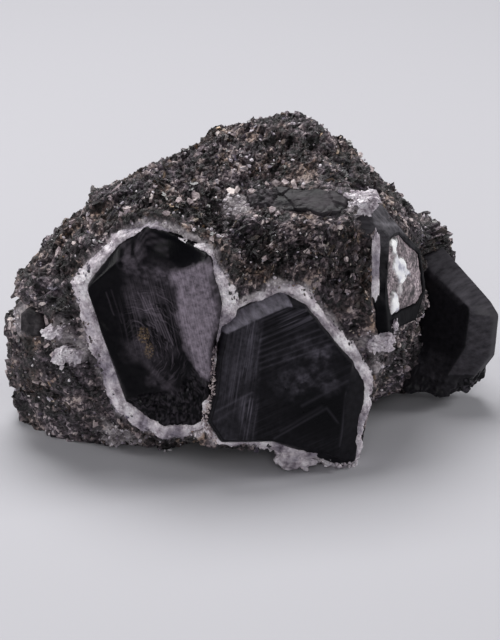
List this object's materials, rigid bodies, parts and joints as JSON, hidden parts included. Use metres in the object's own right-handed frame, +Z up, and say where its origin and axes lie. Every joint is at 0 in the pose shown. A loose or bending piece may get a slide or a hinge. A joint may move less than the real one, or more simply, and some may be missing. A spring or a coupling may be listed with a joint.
{
  "type": "sapphirine specimen",
  "caption": "Hand-sized mineral specimen: dark tabular sapphirine crystals with white feldspar rims, set in a rounded rock of mica grains with a flat underside.",
  "frame": {"origin": "on the floor under the middle of the specimen's bounding box", "axes": "+Z up; +X to the right as seen from the side that shows the two large crystal faces; +Y away from that side"},
  "size_m": [0.1016, 0.0626, 0.063],
  "materials": {
    "mica_rock": "granular, glinting mica flakes",
    "sapphirine": "near-black, smooth and striated faces",
    "feldspar": "white, finely granular"
  },
  "bodies": {
    "root": {"matrix": "mica_rock", "left_crystal": "sapphirine", "centre_crystal": "sapphirine", "right_crystal": "sapphirine", "edge_crystal": "sapphirine", "upper_crystal": "sapphirine", "small_left_crystal": "sapphirine", "feldspar_rim": "feldspar", "feldspar_filling": "feldspar", "feldspar_left": "feldspar", "feldspar_right": "feldspar", "feldspar_strip": "feldspar", "feldspar_top": "feldspar"}
  },
  "joints": []
}
